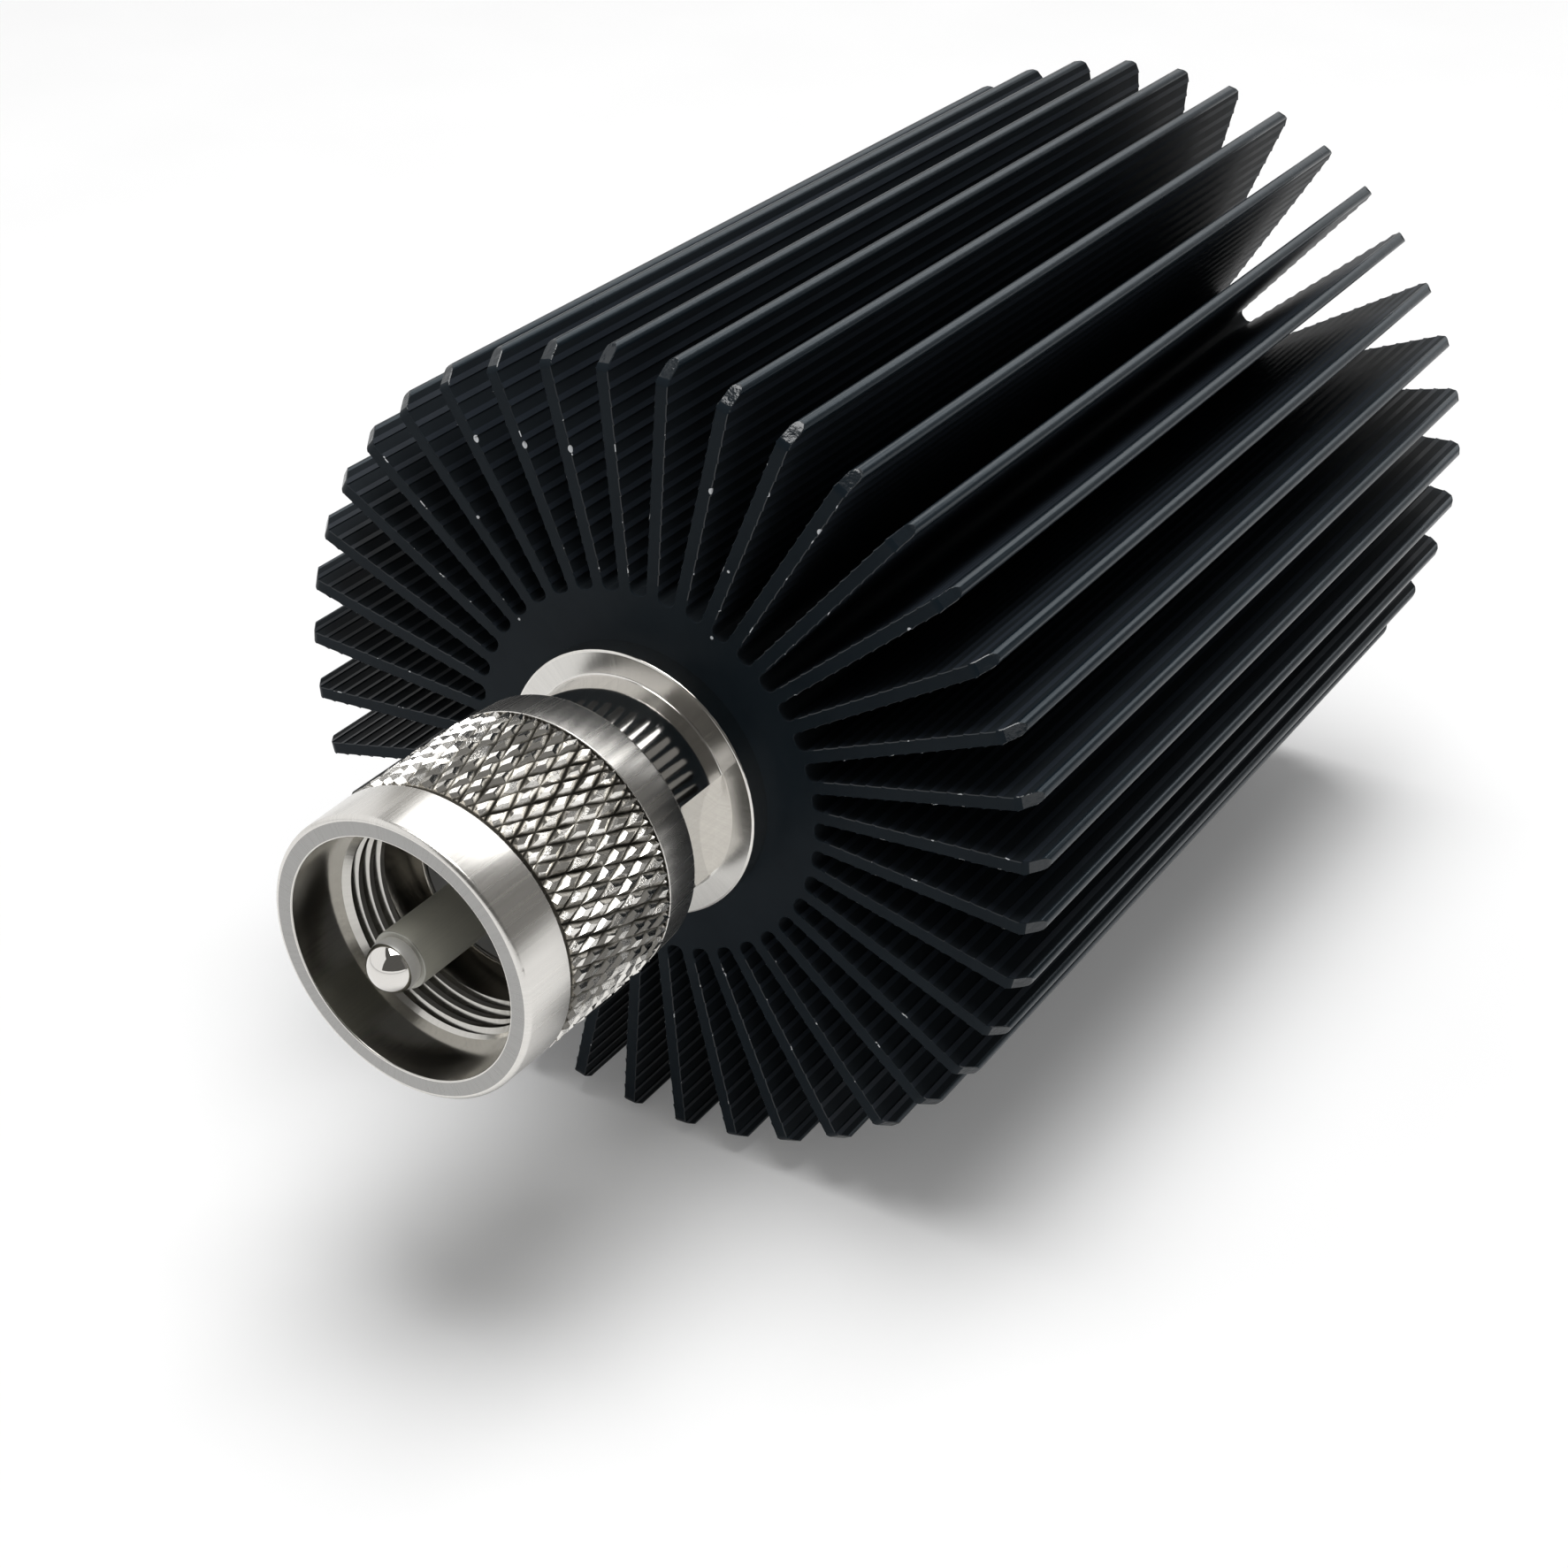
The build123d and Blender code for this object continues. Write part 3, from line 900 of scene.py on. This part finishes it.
# Rings of points, every other one a diamond's peak, with the valleys drawn in between
def knurlBand(start, end, valley, peak):
    bpy.ops.object.select_all(action="DESELECT")
    bpy.ops.mesh.primitive_circle_add(vertices=2 * nut["diamonds"], radius=peak,
                                      rotation=(pi / 2, 0, 0))
    bpy.ops.object.transform_apply(location=False, rotation=True, scale=False)
    piece = bpy.context.object
    piece.name = "couplingNut"
    piece.data.name = "couplingNut"
    bpy.ops.object.mode_set(mode="EDIT")
    bpy.ops.mesh.select_all(action="SELECT")
    firstRing = start + nut["firstColumn"] - nut["columnPitch"]
    bpy.ops.transform.translate(value=(0, firstRing, 0))
    move = (0, nut["columnPitch"], 0)
    for column in range(nut["columns"] + 1):
        bpy.ops.mesh.extrude_edges_move(TRANSFORM_OT_translate={"value": move})

    def isValley(vert):
        turn = round(atan2(vert.co.z, vert.co.x) / pi * nut["diamonds"])
        column = round((vert.co.y - firstRing) / nut["columnPitch"])
        return (turn + column) % 2 == 1

    selectWhere("VERT", isValley)
    ratio = valley / peak
    bpy.ops.transform.resize(value=(ratio, 1, ratio), center_override=(0, 0, 0))
    bpy.ops.mesh.select_all(action="SELECT")
    bpy.ops.mesh.quads_convert_to_tris(quad_method="SHORTEST_DIAGONAL")
    selectWhere("VERT", lambda vert: offAxis(vert.co) > peak - same and not vert.is_boundary)
    bpy.ops.mesh.bevel(offset_type="PERCENT", offset_pct=nut["flatShare"], affect="VERTICES")
    bpy.ops.mesh.select_all(action="SELECT")
    bpy.ops.transform.vertex_random(offset=nut["knurlJitter"], uniform=1.0, normal=0.0,
                                    seed=nut["knurlSeed"])
    for place, side in ((start, -1), (end, 1)):
        bpy.ops.mesh.select_all(action="SELECT")
        bpy.ops.mesh.bisect(plane_co=(0, place, 0), plane_no=(0, side, 0), clear_outer=True,
                            threshold=cutTolerance)
    return piece


def selectEndLoop(place):
    selectWhere("EDGE", lambda edge: all(abs(vert.co.y - place) < same for vert in edge.verts))


# The zigzag end of the knurl is carried in or out to a true circle
def startRing(place, radius):
    bpy.ops.mesh.extrude_edges_move(TRANSFORM_OT_translate={"value": (0, 0, 0)})
    bpy.ops.transform.tosphere(value=1, center_override=(0, place, 0))
    shape = bmesh.from_edit_mesh(bpy.context.object.data)
    reached = [offAxis(vert.co) for vert in shape.verts if vert.select]
    ratio = radius / (sum(reached) / len(reached))
    bpy.ops.transform.resize(value=(ratio, 1, ratio), center_override=(0, 0, 0))


# A truncated V wound into a helix that reaches past both ends of the thread
def threadCutter(threadFront):
    pitch = nut["threadPitch"]
    rootRadius = nut["minorRadius"] + nut["threadDepth"]
    innerRadius = nut["minorRadius"] - nut["cutterDrop"]
    rootHalf = pitch / 16       # half of the root's flat, which is an eighth of the pitch
    innerHalf = rootHalf + (rootRadius - innerRadius) * tan(radians(nut["threadAngle"] / 2))
    start = threadFront - pitch
    turns = round(nut["threadLength"] / pitch) + 2      # one turn more at each end
    section = [
        (innerRadius, -innerHalf),
        (rootRadius, -rootHalf),
        (rootRadius, rootHalf),
        (innerRadius, innerHalf),
        (innerRadius, -innerHalf),
    ]
    cutter = drawOutline("threadCutter", [(0, start + along, radius) for radius, along in section])
    bpy.ops.mesh.select_all(action="SELECT")
    bpy.ops.mesh.remove_doubles(threshold=same)
    bpy.ops.object.mode_set(mode="OBJECT")
    useModifier(cutter, "SCREW", axis="Y", screw_offset=pitch, iterations=turns,
                steps=nut["cutterSteps"], render_steps=nut["cutterSteps"])
    bpy.ops.object.mode_set(mode="EDIT")
    for atEnd in (False, True):
        selectWhere("EDGE", lambda edge: (
            edge.is_boundary and (edge.verts[0].co.y > start + pitch) == atEnd
        ))
        bpy.ops.mesh.edge_face_add()
    bpy.ops.mesh.select_all(action="SELECT")
    bpy.ops.mesh.normals_make_consistent(inside=False)
    bpy.ops.object.mode_set(mode="OBJECT")
    return cutter


def isKnurl(face):
    middle = face.calc_center_median()
    knurlFront = station(nutLow[1]) + nut["ringLength"] + nut["grooveWidth"]
    knurlRear = knurlFront + nut["knurlLength"]
    inBand = knurlFront - nut["knurlMargin"] < middle.y < knurlRear + nut["knurlMargin"]
    return inBand and offAxis(middle) > nut["radius"] - 2 * nut["knurlDepth"]


def isBore(face):
    return offAxis(face.calc_center_median()) < nut["entryRadius"] + nut["boreMargin"]


def isNutFace(face):
    return face.calc_center_median().y < station(nutLow[1]) + same


couplingNut = modelCouplingNut()
knurlFinish = knurlNickel(nut["radius"], nut["radius"] - nut["knurlDepth"])
paintPiece(couplingNut, satinNickel, [
    (knurlFinish, isKnurl),
    (borePaintedShadeNickel, isBore),
    (nutFacePaintedShadeNickel, isNutFace),
])
placePiece(couplingNut, "nut", "coupling_nut")


# Centre pin

print("centre pin")
pin = {
    "steps": 72,
    "radius": 1.98,
    "ballRadius": 1.7,
    "ballSteps": 28,
    "polishedLength": 1.3,
    "neckRadius": 1.62,
    "rodFront": -25.87,
    "edgeRound": 0.08,
    "coreRadius": 1.5,
    "tailRadius": 1.0,
    "coreRear": 7.5,
    "tailRound": 0.15,
}


def modelCentrePin():
    front = station(pinLow[1])
    rear = station(pinHigh[1])
    beadFront = station(beadLow[1])
    ballCentre = front + pin["ballRadius"]
    ballTurn = pi - asin(pin["neckRadius"] / pin["ballRadius"])
    ball = [
        (ballCentre - pin["ballRadius"] * cos(angle), pin["ballRadius"] * sin(angle), 0)
        for angle in (ballTurn * step / pin["ballSteps"] for step in range(pin["ballSteps"] + 1))
    ]
    corners = ball + [
        (pin["rodFront"], pin["neckRadius"], 0),
        (pin["rodFront"], pin["radius"], pin["edgeRound"]),
        (beadFront, pin["radius"], 0),
        (beadFront, pin["coreRadius"], 0),
        (pin["coreRear"], pin["coreRadius"], 0),
        (pin["coreRear"], pin["tailRadius"], 0),
        (rear, pin["tailRadius"], pin["tailRound"]),
        (rear, 0, 0),
    ]
    return turnPiece("centrePin", corners, pin["steps"])


def isTip(face):
    return face.calc_center_median().y < station(pinLow[1]) + pin["polishedLength"]


# The duller rear of the ball, painted lighter and partly matte: a painted highlight
def isBallRear(face):
    return face.calc_center_median().y < pin["rodFront"] - same and not isTip(face)


# The end of the rod behind the ball, painted dark as a painted shade round the ball's foot, and the
# ball, which is painted over after it
def isRodEnd(face):
    return face.calc_center_median().y < pin["rodFront"] + pin["edgeRound"] - same


centrePin = modelCentrePin()
paintPiece(centrePin, rodNickel, [
    (rodEndPaintedShadeNickel, isRodEnd),
    (ballRearPaintedHighlightNickel, isBallRear),
    (tipNickel, isTip),
])
placePiece(centrePin, "load", "centre_pin")


# Front insulator

print("front insulator")
bead = {
    "steps": 96,
    "radius": 6.05,
    "boreRadius": 1.55,
    "edgeRound": 0.08,
}


def modelFrontInsulator():
    front = station(beadLow[1])
    rear = station(beadHigh[1])
    corners = [
        (front, bead["boreRadius"], 0),
        (front, bead["radius"], bead["edgeRound"]),
        (rear, bead["radius"], bead["edgeRound"]),
        (rear, bead["boreRadius"], 0),
        (front, bead["boreRadius"], 0),
    ]
    return turnPiece("frontInsulator", corners, bead["steps"])


frontInsulator = modelFrontInsulator()
paintPiece(frontInsulator, greyInsulator)
placePiece(frontInsulator, "load", "front_insulator")


# The inner parts keep their CAD meshes and get their own finishes

print("inner parts")
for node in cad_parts:
    finish = innerFinishes.get(sharedFinishes.get(node, node))
    if finish is None:
        continue
    solid = bpy.data.objects[node]
    solid.data.materials.clear()
    solid.data.materials.append(finish)


# Camera

print("camera and light")
camera = {
    "place": (0.089675, -0.148841, 0.122157),
    "azimuth": 32.145,
    "elevation": 31.22,
    "lens": 60.85,
    "sensor": 36,
    "nearest": 0.001,
}


def setCamera():
    data = bpy.data.cameras.new("photoCamera")
    data.lens = camera["lens"]
    data.sensor_width = camera["sensor"]
    data.clip_start = camera["nearest"]
    photoCamera = bpy.data.objects.new("photoCamera", data)
    bpy.context.collection.objects.link(photoCamera)
    photoCamera.location = camera["place"]
    photoCamera.rotation_euler = (radians(90 - camera["elevation"]), 0, radians(camera["azimuth"]))
    bpy.context.scene.camera = photoCamera


# Floor, lamps, screens and world

studio = {
    "floorSize": 6.0,
    "floorTones": (0.9, 0.92),
    "floorGrain": 40,
    "floorRoughness": 0.9,
    "floorSpecular": 0.1,
    "floorLift": 0.12,
    # place, width and height, watts, and whether dull surfaces are lit by it too
    "lamps": {
        "keyLamp": ((0.04, 0.045, 1.05), (0.62, 0.62), 9.4, True),
        "backSoftbox": ((-0.1, 0.62, 0.66), (0.9, 0.5), 3.0, False),
    },
    "lampAim": (0, 0, 0.03),
    # cards as the camera sees them: tone, then from left to right, away from it, and up
    "screens": {
        "frontScreen": (0.11, (-0.6, 0.9), (-0.71, -0.7), (0.12, 1.15)),
        "rightScreen": (0.2, (0.9, 0.91), (-0.71, 0.5), (0.055, 1.15)),
        "backScreen": (0.42, (-0.55, 0.3), (1.6, 1.61), (0.15, 1.1)),
        "ceiling": (0.11, (-0.6, 0.91), (-0.71, 1.7), (1.15, 1.16)),
    },
    "screenColour": (1, 0.98, 0.94),
    "fill": 0.25,
    "backdrop": 1.0,
}


# 1 for what the camera sees, straight or in a reflection, and 0 for light on dull surfaces
def seenByCamera(finish):
    path = addNode(finish, "ShaderNodeLightPath")
    return mathOf(finish, "MAXIMUM", path.outputs["Is Camera Ray"], path.outputs["Is Glossy Ray"])


def layFloor():
    bpy.ops.object.select_all(action="DESELECT")
    bpy.ops.mesh.primitive_plane_add(size=studio["floorSize"])
    floor = bpy.context.object
    floor.name = "floor"
    finish, shader = newFinish("whiteFloor")
    darker, lighter = studio["floorTones"]
    grain = noiseOf(finish, studio["floorGrain"])
    paper = cloudsOf(finish, grain, (darker,) * 3, (lighter,) * 3)
    joinTo(finish, paper, shader, "Base Color")
    shader.inputs["Roughness"].default_value = studio["floorRoughness"]
    shader.inputs["Specular IOR Level"].default_value = studio["floorSpecular"]
    shader.inputs["Emission Color"].default_value = (1, 1, 1, 1)
    lift = mathOf(finish, "MULTIPLY", seenByCamera(finish), studio["floorLift"])
    joinTo(finish, lift, shader, "Emission Strength")
    floor.data.materials.append(finish)


def hangLamps():
    for name, (place, size, watts, lightsAll) in studio["lamps"].items():
        data = bpy.data.lights.new(name, "AREA")
        data.shape = "RECTANGLE"
        data.size, data.size_y = size
        data.energy = watts
        lamp = bpy.data.objects.new(name, data)
        bpy.context.collection.objects.link(lamp)
        lamp.location = place
        aim = Vector(studio["lampAim"]) - lamp.location
        lamp.rotation_euler = aim.to_track_quat("-Z", "Y").to_euler()
        lamp.visible_diffuse = lightsAll


# Grey cards that only reflections show
def hangScreens():
    for name, (tone, *reaches) in studio["screens"].items():
        finish, shader = newFinish(name)
        shader.inputs["Base Color"].default_value = (0, 0, 0, 1)
        shader.inputs["Specular IOR Level"].default_value = 0
        shader.inputs["Emission Color"].default_value = (*studio["screenColour"], 1)
        shader.inputs["Emission Strength"].default_value = tone
        bpy.ops.object.select_all(action="DESELECT")
        bpy.ops.mesh.primitive_cube_add(
            size=1,
            location=[(low + high) / 2 for low, high in reaches],
            scale=[high - low for low, high in reaches],
        )
        screen = bpy.context.object
        screen.name = name
        bpy.ops.object.transform_apply(location=True, rotation=True, scale=True)
        screen.rotation_euler.z = radians(camera["azimuth"])
        screen.data.materials.append(finish)
        screen.visible_camera = False
        screen.visible_diffuse = False
        screen.visible_shadow = False


def setWorld():
    world = bpy.data.worlds.new("studioWorld")
    bpy.context.scene.world = world
    world.use_nodes = True
    background = world.node_tree.nodes["Background"]
    background.inputs["Color"].default_value = (1, 1, 1, 1)
    through = addNode(world, "ShaderNodeLightPath").outputs["Is Transmission Ray"]
    seen = mathOf(world, "MAXIMUM", seenByCamera(world), through)
    joinTo(world, rangeOf(world, seen, studio["fill"], studio["backdrop"]), background, "Strength")


setCamera()
layFloor()
hangLamps()
hangScreens()
setWorld()
bpy.context.scene.view_settings.view_transform = "Standard"
